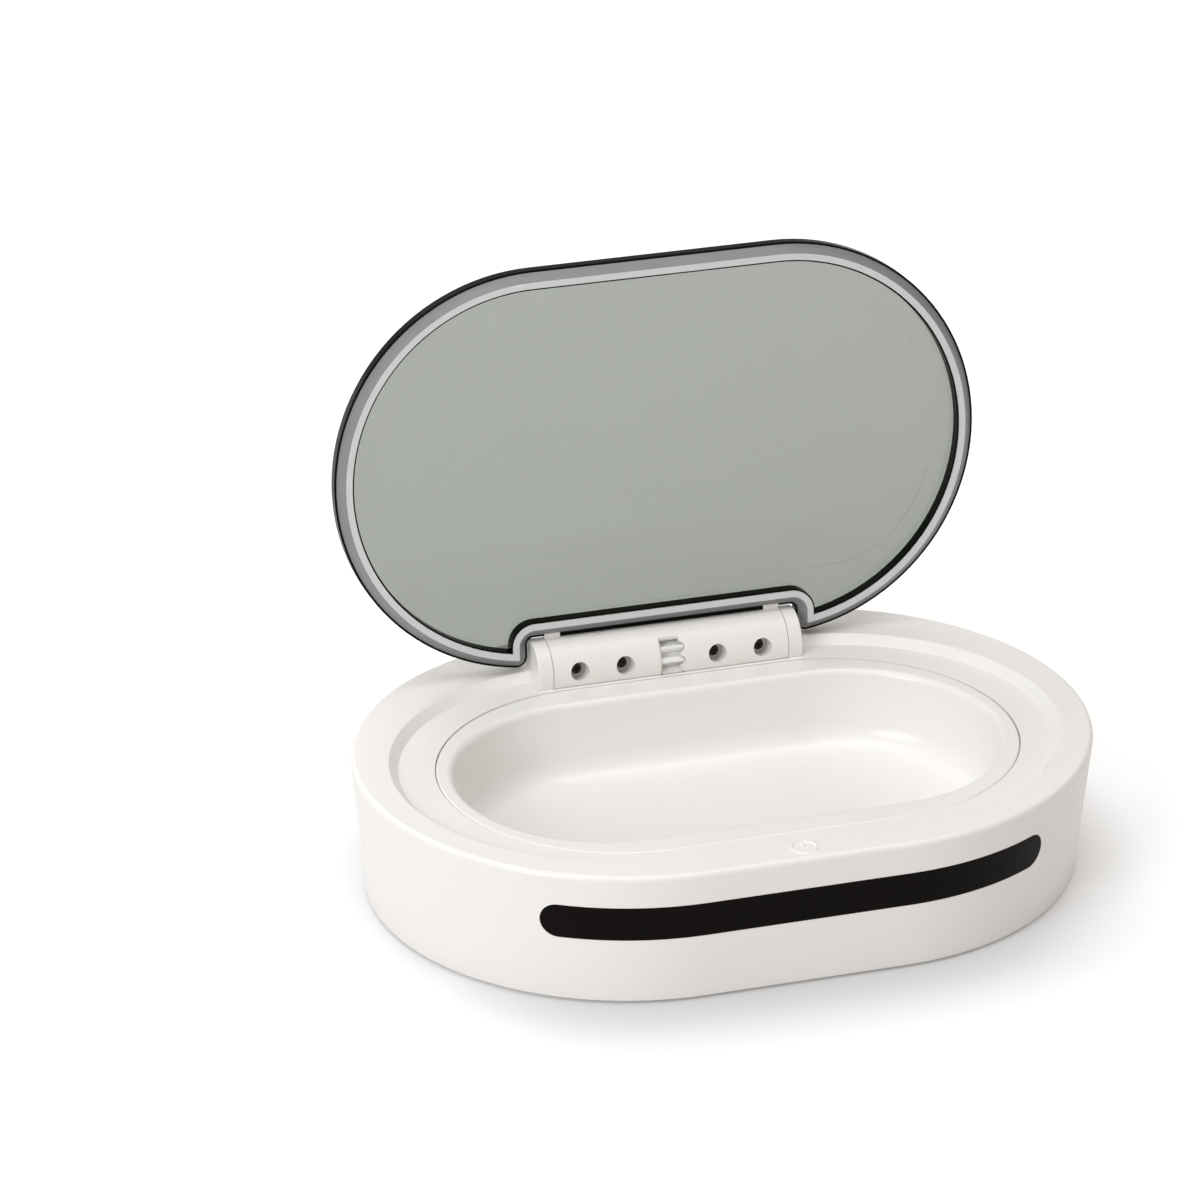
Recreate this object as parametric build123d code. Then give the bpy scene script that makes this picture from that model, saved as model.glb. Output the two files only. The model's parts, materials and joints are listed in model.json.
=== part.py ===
from build123d import *
import os
from math import atan, atan2, cos, degrees, hypot, pi, radians, sin, tan

# Microchip pet feeder: a low oval base with a lift-out food bowl and a smoked lid that a
# small gearmotor swings about a barrel hinge at the rear.
# X runs along the length, -Y is the front, +Z is up, millimetres.
# The origin is the centre of the footprint, on the floor. The lid is stored open.

os.makedirs("parts", exist_ok=True)

# ---- base housing ---------------------------------------------------------------------------
base_len = 330.0          # over the top rim
base_wid = 240.0
base_height = 63.0        # floor to rim
wall_draft = 5.4          # degrees, the side wall leans in towards the floor
wall = 2.6
rim_round = 2.2
rim_end = 15.0            # rim outside the lid recess, at the ends, the front and the rear
rim_front = 20.0
rim_rear = 32.6
rim_edge_round = 0.8      # where the rim turns down into the recess
foot_height = 1.5
cover_thick = 2.5
cover_gap = 0.3           # bottom cover to the shell's wall
boss_spread = 25.0        # degrees, the side screws either way from the length's ends
boss_edge = 11.5          # screw centres in from the rim's edge

# ---- lid recess and food bowl -----------------------------------------------------------------
recess_depth = 4.0        # the recess wall slopes at 45 degrees, so it is also the slope's width
deck_end = 16.0           # deck left between the recess wall and the bowl, at the ends
deck_front = 7.5
flange_end = 7.0          # the bowl's flange, at the ends and along the sides
flange_side = 14.0
bowl_depth = 35.0
bowl_wall = 2.2
bowl_draft = 5.0
bowl_round = 11.0
flange_thick = 2.6
flange_gap = 0.5
bowl_gap = 1.6            # between bowl and well walls
bowl_floor_gap = 0.5
bowl_lip_round = 3.0
flange_round = 0.9

# ---- front window and power mark ---------------------------------------------------------------
window_low = 32.0
window_high = 48.0
window_half_arc = 116.8   # from the middle to the window's tip, along the wall
window_depth = 1.6
window_ledge = 3.0
trim_gap = 0.1
touch_dia = 11.5
touch_thick = 1.2

# ---- lid --------------------------------------------------------------------------------------
lid_gap = 1.0             # between lid and recess edge
lid_thick = 6.0
lid_edge_round = 1.3
lid_open_angle = 95.0
tray_depth = 2.2          # the lid's underside is hollowed inside the seal
field_depth = 0.5         # and steps down once more to an oval field
field_inset = 17.0        # field in from the lid's edge
field_bevel = 66.0        # degrees off upright, the slope round the field
field_corner = 45.0       # where the field is cut straight before the hinge
field_back = 15.0         # field's straight edge to the notch
seal_rib_thick = 0.8      # rib that stands inside the seal and holds it
seal_rib_high = 3.0
notch_side_gap = 1.5      # lid to hinge pedestals
notch_front_gap = 1.3     # lid to barrel
notch_round = 3.0         # inner corners of the notch
notch_corner_spare = 0.4  # on its outer corners, radius beyond what the seal's slope needs
gasket_inset = 1.0
gasket_lip = 0.2          # upright edge above the seal's slope
gasket_ridge = 2.9
gasket_floor_gap = 0.3

# ---- barrel hinge -----------------------------------------------------------------------------
hinge_back = 32.3         # hinge axis in from the rear edge of the rim
trough_lip = 1.2          # wall left between the bowl's flange and the barrel
barrel_rad = 14.2
barrel_wall = 2.6
barrel_len = 110.4
pedestal_len = 6.5
cap_round = 0.6           # rim of each pedestal's outer face
cap_skin = 1.3            # left beyond the blind pin hole
end_gap = 0.3
trough_gap = 0.5
seat_gap = 0.05
pin_rad = 3.0
pin_clear = 0.05
pin_grip = 7.5            # length of pin held in the barrel
arm_len = 7.2
arm_thick = 2.6
arm_reach = 8.0           # length of each arm let into the lid's underside
split_gap = 0.2           # between the two halves of the barrel

# ---- barrel screws and window -------------------------------------------------------------------
screw_places = (-43.0, -21.7, 21.7, 43.0)
screw_lift = 12.0         # degrees above horizontal
cover_bore_dia = 8.6
cover_bore_depth = 9.0
screw_head_dia = 5.0
screw_head_thick = 1.8
screw_dia = 3.0
screw_len = 14.0
boss_wall = 1.2
slot_len = 13.0           # of the slot that the pinion reaches through, under the deck
sight_len = 9.0           # of the narrower window above the deck
sight_top_lift = 54.0     # degrees up from the front
sight_foot_lift = -20.0
sight_bevel = 0.8
scallop_x = 4.0           # round bites in the window's right-hand wall, one for each tooth end
scallop_rad = 2.5

# ---- gear drive ---------------------------------------------------------------------------------
gear_module = 1.8
lid_teeth = 13
pinion_teeth = 12
pressure_angle = 25.0
tooth_addendum = 0.9      # in modules
tooth_dedendum = 1.12
tooth_backlash = 0.35
mesh_gap = 0.15
sector_teeth = 7
gear_left = -4.35
gear_right = 6.2
tooth_end_rad = 2.2
pinion_width = 9.0
key_side = 9.0
key_len = 17.0
web_thick = 3.0
shaft_dia = 5.0
bracket_wall = 3.0
bracket_gap = 0.5
bracket_wid = 20.0
bracket_cap = 1.7         # above the shaft
gearbox_len = 18.0
gearbox_wid = 27.0
motor_dia = 24.0
motor_len = 28.0
motor_edge = 1.0
motor_cap_len = 2.5
motor_cap_rad = 3.5
gearbox_corner = 1.5
gearbox_drop = 22.5       # its foot below the shaft
gearbox_rise = 0.4        # its top above the bracket
motor_margin = 1.5        # between the motor's can and the gearbox's foot
saddle_len = 4.0
saddle_wid = 21.0

# ---- electrics and fixings ----------------------------------------------------------------------
cell_dia = 18.4
cell_len = 65.2
cell_cap = 1.2
cell_cap_rad = 3.0
cell_edge = 0.7
cell_room = 0.15          # round each cell in its tray
tray_wall = 1.5
tray_gap = 1.3            # tray to the screw boss at the end
port_x = -30.0
port_z = 31.0
port_len = 9.6
port_high = 4.0
port_deep = 8.0
port_skin = 0.5
port_back = 1.5
port_sunk = 0.8           # inlet's mouth behind the wall's face
tongue_len = 6.4
tongue_thick = 0.8
sensor_post_rad = 3.5
sensor_post_x = 38.0
sensor_lens_len = 2.2
sensor_len = 92.0
lens_places = (-32.0, -16.0, 0.0, 16.0, 32.0)
lens_rad = 2.5
board_len = 120.0
board_wid = 25.0
board_thick = 1.6
board_z = 13.0
board_gap = 4.2           # front edge to the front wall
board_post_rad = 3.2
board_post_in = 7.0
chip_len = 16.0
chip_wid = 12.0
chip_high = 2.0
radio_x = 28.0
radio_len = 12.0
radio_wid = 10.0
radio_high = 3.0
socket_x = -34.0
socket_len = 12.0
socket_wid = 8.0
socket_high = 5.0
capacitor_places = (-20.0, 14.0, 42.0)
capacitor_rad = 3.0
capacitor_high = 7.0
coil_thick = 3.0
coil_z = 31.0
coil_gap = 0.5
foot_dia = 16.0
foot_pocket = 1.0
foot_x = 96.0
foot_y = 66.0
base_boss_dia = 8.4
base_screw_dia = 3.0
base_screw_len = 10.0
base_head_dia = 6.0
base_head_thick = 1.3

# ---- places that follow from the sizes ------------------------------------------------------------
deck_z = base_height - recess_depth
hinge_y = base_wid / 2 - hinge_back
hinge_z = base_height
recess_len = base_len - 2 * rim_end
recess_wid = base_wid - rim_front - rim_rear
rear_shift = (rim_rear - rim_front) / 2
bowl_front = -(base_wid / 2 - rim_front - recess_depth - deck_front)
bowl_rear = hinge_y - barrel_rad - trough_gap - trough_lip - flange_gap
bowl_len = recess_len - 2 * recess_depth - 2 * deck_end
bowl_wid = bowl_rear - bowl_front
bowl_shift = -(bowl_rear + bowl_front) / 2
bowl_mouth_len = bowl_len - 2 * flange_end
bowl_mouth_wid = bowl_wid - 2 * flange_side
deck_under = deck_z - wall
end_centre = (base_len - base_wid) / 2
rim_under = base_height - wall
cover_top = foot_height + cover_thick
seat_z = deck_z - flange_thick
bowl_floor_z = deck_z - bowl_depth
well_floor_z = bowl_floor_z - bowl_wall - bowl_floor_gap
trough_rad = barrel_rad + trough_gap
trough_outer = trough_rad + wall
block_half = barrel_len / 2 + end_gap + pedestal_len
lid_len = recess_len - 2 * lid_gap
lid_wid = recess_wid - 2 * lid_gap
lid_z = base_height
lid_rear = lid_wid / 2 - rear_shift
gasket_depth = recess_depth - gasket_floor_gap
gasket_slope = gasket_depth - gasket_lip
gasket_wid = gasket_slope + gasket_ridge
notch_corner = gasket_inset + gasket_slope + notch_corner_spare
notch_y = hinge_y - barrel_rad - notch_front_gap
tooth_turn = 360.0 / lid_teeth
sector_first = 3.5 * tooth_turn - 90   # the lowest tooth in the window; a gap points straight down
sector_start = -2 * tooth_turn - 90    # first edge of the toothed sector, up from the front
gear_pitch = gear_module * lid_teeth / 2
pinion_pitch = gear_module * pinion_teeth / 2
pinion_z = hinge_z - gear_pitch - pinion_pitch - mesh_gap
bracket_half = pinion_width / 2 + bracket_gap + bracket_wall
bracket_top = pinion_z + shaft_dia / 2 + bracket_cap
gearbox_low = pinion_z - gearbox_drop
gearbox_high = bracket_top + gearbox_rise
motor_z = gearbox_low + motor_margin + motor_dia / 2
tray_half = tray_wall + cell_room + cell_dia / 2
cell_x = base_len / 2 - boss_edge - base_boss_dia / 2 - tray_gap - tray_half
cell_z = cover_top + tray_wall + cell_dia / 2


def stadium(length, width, y=0.0, z=0.0):
    return Pos(0, y, z) * SlotOverall(length, width)


def drafted(length, width, y, z_low, z_high, draft):
    """Oval solid whose given size is at the top and that narrows downwards."""
    run = (z_high - z_low) * tan(radians(draft))
    foot = stadium(length - 2 * run, width - 2 * run, y, z_low)
    return extrude(foot, amount=z_high - z_low, taper=-draft)


def block(x_low, x_high, y_low, y_high, z_low, z_high):
    centre = Pos((x_low + x_high) / 2, (y_low + y_high) / 2, (z_low + z_high) / 2)
    return centre * Box(x_high - x_low, y_high - y_low, z_high - z_low)


def rod(x_low, x_high, radius, y, z):
    """Cylinder along X."""
    return Pos((x_low + x_high) / 2, y, z) * Rot(0, 90, 0) * Cylinder(radius, x_high - x_low)


def post(x, y, radius, z_low, z_high):
    return Pos(x, y, (z_low + z_high) / 2) * Cylinder(radius, z_high - z_low)


def edges_at(shape, z, tolerance=0.02):
    return [e for e in shape.edges() if abs(e.bounding_box().min.Z - z) < tolerance
            and abs(e.bounding_box().max.Z - z) < tolerance]


# ---- outer wall -----------------------------------------------------------------------------------
def wall_body(inset, z_low, z_high):
    """The housing's outer form moved inwards by inset."""
    rise = (base_height - z_high) * tan(radians(wall_draft))
    length = base_len - 2 * inset - 2 * rise
    return drafted(length, length - base_len + base_wid, 0, z_low, z_high, wall_draft)


def wall_inset(z):
    return (base_height - z) * tan(radians(wall_draft))


def base_boss_places():
    """Screw bosses round the foot of the wall: one at each end, two along the front and rear."""
    reach = base_wid / 2 - boss_edge
    places = [(side * (end_centre + reach), 0.0) for side in (-1, 1)]
    for side in (-1, 1):
        for face in (-1, 1):
            x = side * (end_centre + reach * sin(radians(boss_spread)))
            places.append((x, face * reach * cos(radians(boss_spread))))
    return places


# ---- front window -----------------------------------------------------------------------------------
def base_bosses():
    """Screw bosses, each run out into the wall so that no gap is left behind it."""
    bosses = []
    for x, y in base_boss_places():
        centre = max(-end_centre, min(end_centre, x))
        turn = degrees(atan2(y, x - centre))
        run = Box(boss_edge, base_boss_dia, deck_under + 1 - cover_top, align=(Align.MIN, Align.CENTER,
                  Align.MIN))
        bosses.append(post(x, y, base_boss_dia / 2, cover_top, deck_under + 1))
        bosses.append(Pos(x, y, cover_top) * Rot(0, 0, turn) * run)
    return bosses


def window_region(shrink):
    """Space swept by the window: a band round the front that ends in half circles."""
    low = window_low + shrink
    high = window_high - shrink
    middle_z = (low + high) / 2
    end_rad = (high - low) / 2
    wall_rad = base_wid / 2 - wall_inset(middle_z)
    turn = degrees((window_half_arc - shrink - end_rad - end_centre) / wall_rad)
    reach = base_wid
    region = block(-end_centre, end_centre, -reach, -reach / 4, low, high)
    for side in (-1, 1):
        centre = (side * end_centre, 0)
        first = (centre[0], -reach)
        last = (centre[0] + side * reach * tan(radians(turn)), -reach)
        wedge = make_face(Polyline(centre, first, last, close=True))
        region += extrude(Pos(0, 0, low) * wedge, amount=high - low)
        spin = Rot(0, 0, side * turn)
        tip = Pos(centre[0], 0, middle_z) * spin * Pos(0, -reach / 2, 0) * Rot(90, 0, 0)
        region += tip * Cylinder(end_rad, reach)
    return region


def window_layer(depth, shrink):
    outer = wall_body(0, foot_height, base_height)
    inner = wall_body(depth, foot_height - 1, base_height + 1)
    return (outer - inner) & window_region(shrink)


# ---- base shell -------------------------------------------------------------------------------------
def well_body():
    """Outside of the tub that the bowl hangs in, with the collar under the flange seat."""
    grow = 2 * (bowl_wall + bowl_gap + wall)
    tub = drafted(bowl_mouth_len + grow, bowl_mouth_wid + grow, -bowl_shift,
                  well_floor_z - wall, deck_under, bowl_draft)
    collar = 2 * (flange_gap + wall)
    seat = stadium(bowl_len + collar, bowl_wid + collar, -bowl_shift, seat_z - wall)
    rib = 2 * (coil_gap + coil_thick)
    ledge = stadium(coil_inner_len() + rib, coil_inner_wid() + rib, -bowl_shift, coil_z - wall)
    return tub + extrude(seat, amount=deck_under - seat_z + wall + 0.5) + extrude(ledge, amount=wall)


def coil_inner_len():
    """Length of the coil's inside, clear of the tub at the coil's foot and top."""
    lean = (deck_under - coil_z - coil_thick) * tan(radians(bowl_draft))
    return bowl_mouth_len + 2 * (bowl_wall + bowl_gap + wall + coil_gap - lean)


def coil_inner_wid():
    return coil_inner_len() - bowl_mouth_len + bowl_mouth_wid


def well_hollow():
    grow = 2 * (bowl_wall + bowl_gap)
    tub = drafted(bowl_mouth_len + grow, bowl_mouth_wid + grow, -bowl_shift,
                  well_floor_z, seat_z, bowl_draft)
    seat = stadium(bowl_len + 2 * flange_gap, bowl_wid + 2 * flange_gap, -bowl_shift, seat_z)
    return tub + extrude(seat, amount=deck_z - seat_z + 1)


def trough_body():
    half = block_half + wall
    tube = rod(-half, half, trough_outer, hinge_y, hinge_z)
    return tube & block(-half, half, 0, base_wid / 2 - wall / 2, 0, base_height - wall / 2)


def trough_hollow():
    """Room for the turning barrel, closer round the two pedestals, and the pinion's slot."""
    half = barrel_len / 2 + end_gap
    barrel_room = rod(-half, half, trough_rad, hinge_y, hinge_z)
    seat_room = rod(-block_half - seat_gap, block_half + seat_gap, barrel_rad + seat_gap,
                    hinge_y, hinge_z)
    pinion_tip = pinion_pitch + tooth_addendum * gear_module + trough_gap
    pinion_room = rod(-pinion_width / 2 - 1.2, pinion_width / 2 + 1.2, pinion_tip, hinge_y, pinion_z)
    return barrel_room + seat_room + pinion_room


def sensor_posts():
    places = [(side * sensor_post_x, sensor_board_y() + board_thick + sensor_post_rad) for side in (-1, 1)]
    return [post(x, y, sensor_post_rad, window_low, rim_under + wall / 2) for x, y in places]


def sensor_board_y():
    """Front face of the sensor board, one lens length behind the wall."""
    return -(base_wid / 2 - wall_inset(window_low) - wall - sensor_lens_len - 0.3)


def port_pocket():
    half_len = port_len / 2 + wall
    half_high = port_high / 2 + wall
    outer = base_wid / 2 - wall_inset(port_z)
    return block(port_x - half_len, port_x + half_len, outer - port_deep + 1, outer - 1,
                 port_z - half_high, port_z + half_high)


def port_space(grow):
    outer = base_wid / 2 - wall_inset(port_z)
    half_len = port_len / 2 + grow
    half_high = port_high / 2 + grow
    return block(port_x - half_len, port_x + half_len, outer - port_deep, outer + 5,
                 port_z - half_high, port_z + half_high)


def make_base_shell():
    outer = wall_body(0, foot_height, base_height)
    outer = fillet(edges_at(outer, base_height), rim_round)
    low_space = wall_body(wall, foot_height - 1, deck_under)
    rim_space = wall_body(wall, deck_under - 1, rim_under)
    rim_space -= extrude(stadium(recess_len + 2 * wall, recess_wid + 2 * wall, -rear_shift),
                         amount=base_height)
    kept = well_body() + trough_body() + port_pocket()
    for pillar in base_bosses() + sensor_posts():
        kept += pillar
    shell = outer - ((low_space + rim_space) - kept)
    shell -= drafted(recess_len, recess_wid, -rear_shift, deck_z, base_height, 45.0)
    shell = fillet([e for e in edges_at(shell, base_height) if inside_rim(e)], rim_edge_round)
    shell -= well_hollow()
    shell -= trough_hollow()
    shell -= window_layer(window_depth, -trim_gap)
    shell -= window_layer(wall + 0.4, window_ledge)
    shell -= port_space(seat_gap)
    for x, y in base_boss_places():
        shell -= post(x, y, base_screw_dia / 2 + seat_gap, cover_top - 1,
                      cover_top + base_screw_len)
    return shell


def inside_rim(edge):
    """True for an edge round the recess, false for one on the rim's outer rounding."""
    box = edge.bounding_box()
    margin = rim_round + 1
    return (max(box.max.Y, -box.min.Y) < base_wid / 2 - margin
            and max(box.max.X, -box.min.X) < base_len / 2 - margin)


def make_front_window():
    return window_layer(window_depth - trim_gap, 0)


# ---- bottom cover ------------------------------------------------------------------------------------
def make_bottom_cover():
    plate = wall_body(wall + cover_gap, foot_height, cover_top)
    for side_x in (-1, 1):
        for side_y in (-1, 1):
            plate -= post(side_x * foot_x, side_y * foot_y, foot_dia / 2 + seat_gap,
                          0, foot_height + foot_pocket)
    for x, y in base_boss_places():
        plate -= post(x, y, base_screw_dia / 2 + seat_gap, 0, cover_top + 1)
        plate -= post(x, y, base_head_dia / 2 + 0.2, 0, foot_height + base_head_thick)
    for x, y in board_posts():
        plate += post(x, y, board_post_rad, cover_top - 0.5, board_z)
    return plate + motor_saddle()


def board_posts():
    half_len = board_len / 2 - board_post_in
    half_wid = board_wid / 2 - board_post_in
    return [(sx * half_len, board_y() + sy * half_wid) for sx in (-1, 1) for sy in (-1, 1)]


def board_y():
    return -(base_wid / 2 - wall_inset(board_z) - wall - board_gap - board_wid / 2)


def make_foot(x, y):
    pad = post(x, y, foot_dia / 2, 0, foot_height + foot_pocket)
    return chamfer(edges_at(pad, 0), 0.6)


def make_base_screw(x, y):
    head = post(x, y, base_head_dia / 2, foot_height, foot_height + base_head_thick)
    shank = post(x, y, base_screw_dia / 2, foot_height + base_head_thick,
                 cover_top + base_screw_len - 0.5)
    drive = Pos(x, y, foot_height) * Box(3.0, 0.8, 1.2) + Pos(x, y, foot_height) * Box(0.8, 3.0, 1.2)
    return head + shank - drive


# ---- food bowl -----------------------------------------------------------------------------------------
def make_bowl():
    grow = 2 * bowl_wall
    body = drafted(bowl_mouth_len + grow, bowl_mouth_wid + grow, -bowl_shift,
                   bowl_floor_z - bowl_wall, deck_z, bowl_draft)
    body = fillet(edges_at(body, bowl_floor_z - bowl_wall), bowl_round + bowl_wall)
    flange = extrude(stadium(bowl_len, bowl_wid, -bowl_shift, seat_z), amount=flange_thick)
    hollow = drafted(bowl_mouth_len, bowl_mouth_wid, -bowl_shift, bowl_floor_z, deck_z + 2,
                     bowl_draft)
    hollow = fillet(edges_at(hollow, bowl_floor_z), bowl_round)
    bowl = body + flange - hollow
    bowl = fillet([e for e in edges_at(bowl, deck_z) if not inside_mouth(e)], flange_round)
    return fillet([e for e in edges_at(bowl, deck_z) if inside_mouth(e)], bowl_lip_round)


def inside_mouth(edge):
    """True for an edge of the mouth, false for the flange's outer edge."""
    box = edge.bounding_box()
    reach_y = max(abs(box.min.Y + bowl_shift), abs(box.max.Y + bowl_shift))
    return reach_y < (bowl_mouth_wid + bowl_wid) / 4


# ---- lid --------------------------------------------------------------------------------------------------
def lid_outline():
    """The closed lid's edge, with the notch round the hinge block."""
    half = block_half + notch_side_gap
    deep = lid_rear - notch_y + 2 * notch_corner
    notch = Pos(0, notch_y + deep / 2) * RectangleRounded(2 * half, deep, notch_round)
    face = stadium(lid_len, lid_wid, -rear_shift) - notch
    return offset(offset(face, amount=-notch_corner), amount=notch_corner)


def opened(shape):
    """Turn a piece of the closed lid up to the open pose it is stored in."""
    return shape.rotate(Axis((0, hinge_y, hinge_z), (1, 0, 0)), -lid_open_angle)


def field_outline():
    """The lid's clear field: an oval cut straight before the hinge."""
    face = stadium(lid_len - 2 * field_inset, lid_wid - 2 * field_inset, -rear_shift, lid_z)
    edge = notch_y - field_back
    face -= Pos(0, edge + lid_wid / 2, lid_z) * Rectangle(lid_len, lid_wid)
    return fillet([v for v in face.vertices() if abs(v.Y - edge) < 0.1], field_corner)


def make_lid_panel(outline):
    plate = extrude(Pos(0, 0, lid_z) * outline, amount=lid_thick)
    plate = fillet(edges_at(plate, lid_z + lid_thick), lid_edge_round)
    rib_outer = offset(outline, amount=-gasket_inset - gasket_wid)
    tray = offset(outline, amount=-gasket_inset - gasket_wid - seal_rib_thick)
    plate += extrude(Pos(0, 0, lid_z - seal_rib_high) * rib_outer, amount=seal_rib_high + 0.5)
    plate -= extrude(Pos(0, 0, lid_z - seal_rib_high - 1) * tray,
                     amount=tray_depth + seal_rib_high + 1)
    plate -= Pos(0, 0, tray_depth) * extrude(field_outline(), amount=field_depth, taper=field_bevel)
    for arm in arm_space(seat_gap):
        plate -= arm
    return opened(plate)


def arm_space(grow):
    """The two arms that carry the lid, let into its underside above the seal."""
    x_low = barrel_len / 2 - arm_len - grow
    x_high = barrel_len / 2 + grow
    pair = []
    for side in (-1, 1):
        low, high = sorted((side * x_low, side * x_high))
        pair.append(block(low, high, notch_y - arm_reach - grow, hinge_y - barrel_rad + barrel_wall,
                          lid_z, lid_z + arm_thick + grow))
    return pair


def make_gasket(outline):
    outer = offset(outline, amount=-gasket_inset)
    inner = offset(outline, amount=-gasket_inset - gasket_wid)
    ring = extrude(Pos(0, 0, lid_z - gasket_depth) * outer, amount=gasket_depth)
    ring = chamfer(edges_at(ring, lid_z - gasket_depth), gasket_slope)
    ring -= extrude(Pos(0, 0, lid_z) * inner, amount=gasket_depth + 1, dir=(0, 0, -1))
    return opened(ring)


# ---- barrel hinge -------------------------------------------------------------------------------------------
def barrel_ring():
    half = barrel_len / 2
    tube = rod(-half, half, barrel_rad, hinge_y, hinge_z)
    tube -= rod(-half - 1, half + 1, barrel_rad - barrel_wall, hinge_y, hinge_z)
    return tube


def barrel_webs():
    """End walls and the two webs that hold the gear's square key."""
    half = barrel_len / 2
    inner = barrel_rad - barrel_wall + 0.2
    webs = rod(-half, -half + pin_grip, inner, hinge_y, hinge_z)
    webs += rod(half - pin_grip, half, inner, hinge_y, hinge_z)
    left = gear_left - end_gap
    right = gear_right + end_gap
    webs += rod(left - web_thick, left, inner, hinge_y, hinge_z)
    webs += rod(right, right + web_thick, inner, hinge_y, hinge_z)
    key = key_side / 2 + seat_gap
    webs -= block(-key_len, key_len, hinge_y - key, hinge_y + key, hinge_z - key, hinge_z + key)
    return webs


def pin_bores():
    half = barrel_len / 2
    pin = pin_rad + seat_gap
    left = rod(-half - 1, -half + pin_grip + 1, pin, hinge_y, hinge_z)
    return left + rod(half - pin_grip - 1, half + 1, pin, hinge_y, hinge_z)


def screw_frame(x):
    """Place whose Z axis points out of the barrel along a cover screw."""
    return Pos(x, hinge_y, hinge_z) * Rot(90 - screw_lift, 0, 0)


def screw_bosses():
    radius = cover_bore_dia / 2 + boss_wall
    column = None
    for x in screw_places:
        boss = screw_frame(x) * Cylinder(radius, 2 * barrel_rad)
        column = boss if column is None else column + boss
    return column & rod(-barrel_len / 2, barrel_len / 2, barrel_rad - 0.5, hinge_y, hinge_z)


def screw_seat():
    """Height of the counterbore's floor above the barrel's axis."""
    return barrel_rad - cover_bore_depth


def fan(lifts, x_low, x_high):
    """Wedge about the hinge axis from the first lift to the last, in degrees up from the front."""
    far = 2 * barrel_rad
    rays = [(hinge_y - far * cos(radians(t)), hinge_z + far * sin(radians(t))) for t in lifts]
    face = Plane.YZ * make_face(Polyline((hinge_y, hinge_z), *rays, close=True))
    return Pos(x_low, 0, 0) * extrude(face, amount=x_high - x_low)


def gear_slot():
    """The slot in the barrel's wall that the gear meshes through, and its window above the deck."""
    middle = (sight_foot_lift + sector_start) / 2
    room = fan((sight_foot_lift, (sight_foot_lift + middle) / 2, middle,
                (middle + sector_start) / 2, sector_start), -slot_len / 2, slot_len / 2)
    room += fan((sight_top_lift, (sight_top_lift + sight_foot_lift) / 2, sight_foot_lift),
                -sight_len / 2, sight_len / 2)
    core = rod(-slot_len, slot_len, barrel_rad - barrel_wall - 0.1, hinge_y, hinge_z)
    return room - core


def tooth_columns(lifts, radius):
    """Round columns that point out of the barrel over the right-hand ends of the teeth."""
    columns = []
    for lift in lifts:
        place = Pos(scallop_x, hinge_y, hinge_z) * Rot(90 - lift, 0, 0)
        columns.append(place * Pos(0, 0, barrel_rad) * Cylinder(radius, 2 * barrel_wall + 1))
    return columns


def barrel_solid():
    return barrel_ring() + barrel_webs() + screw_bosses() - gear_slot() - pin_bores()


def on_sight_edge(edge):
    """True for the window's left-hand and top edges on the barrel's outside."""
    middle = edge.center()
    reach = hypot(middle.Y - hinge_y, middle.Z - hinge_z)
    at_left = abs(middle.X + sight_len / 2) < 0.01 and edge.geom_type == GeomType.CIRCLE
    at_top = abs(middle.X) < 0.01 and edge.geom_type == GeomType.LINE and middle.Z > hinge_z
    return (at_left and edge.radius > barrel_rad - 0.1) or (at_top and reach > barrel_rad - 0.1)


def make_hinge_cover(barrel):
    reach = 2 * barrel_rad
    front = block(-reach * 2, reach * 2, hinge_y - reach, hinge_y - split_gap / 2,
                  hinge_z - reach, hinge_z + reach)
    cover = barrel & front
    cover = chamfer([e for e in cover.edges() if on_sight_edge(e)], sight_bevel)
    for bite in tooth_columns([sector_first + k * tooth_turn for k in (-1, 0, 1)], scallop_rad):
        cover -= bite
    for x in screw_places:
        place = screw_frame(x)
        bore = Pos(0, 0, screw_seat() + barrel_rad / 2) * Cylinder(cover_bore_dia / 2, barrel_rad)
        hole = Cylinder(screw_dia / 2 + 0.1, 2 * barrel_rad)
        cover -= place * bore
        cover -= place * hole
    return cover


def make_hinge_carrier(barrel):
    reach = 2 * barrel_rad
    rear = block(-reach * 2, reach * 2, hinge_y + split_gap / 2, hinge_y + reach,
                 hinge_z - reach, hinge_z + reach)
    carrier = barrel & rear
    for arm in arm_space(0.0):
        carrier += opened(arm) & block(-reach * 2, reach * 2, hinge_y + split_gap / 2,
                                       hinge_y + reach, hinge_z + barrel_rad - barrel_wall,
                                       hinge_z + reach)
    for x in screw_places:
        deep = screw_len - screw_seat() + 0.5
        hole = Cylinder(screw_dia / 2 + seat_gap, 2 * deep)
        carrier -= screw_frame(x) * hole
    return carrier


def make_hinge_screw(x):
    seat = screw_seat()
    head = Pos(0, 0, seat + screw_head_thick / 2) * Cylinder(screw_head_dia / 2, screw_head_thick)
    shank = Pos(0, 0, seat - screw_len / 2) * Cylinder(screw_dia / 2, screw_len)
    top = seat + screw_head_thick
    cross = Pos(0, 0, top) * Box(3.2, 0.8, 2.0) + Pos(0, 0, top) * Box(0.8, 3.2, 2.0)
    return screw_frame(x) * (head + shank - cross)


def make_hinge_pin(side):
    start = barrel_len / 2 - pin_grip + 0.1
    end = block_half - cap_skin - 0.2
    low, high = sorted((side * start, side * end))
    return rod(low, high, pin_rad, hinge_y, hinge_z)


def make_pedestal(side):
    start = barrel_len / 2 + end_gap
    low, high = sorted((side * start, side * block_half))
    cap = rod(low, high, barrel_rad, hinge_y, hinge_z)
    rim = [e for e in cap.edges() if abs(e.center().X - side * block_half) < 0.05]
    cap = fillet(rim, cap_round)
    bore_low, bore_high = sorted((side * (start - 1), side * (block_half - cap_skin)))
    return cap - rod(bore_low, bore_high, pin_rad + pin_clear, hinge_y, hinge_z)


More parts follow.
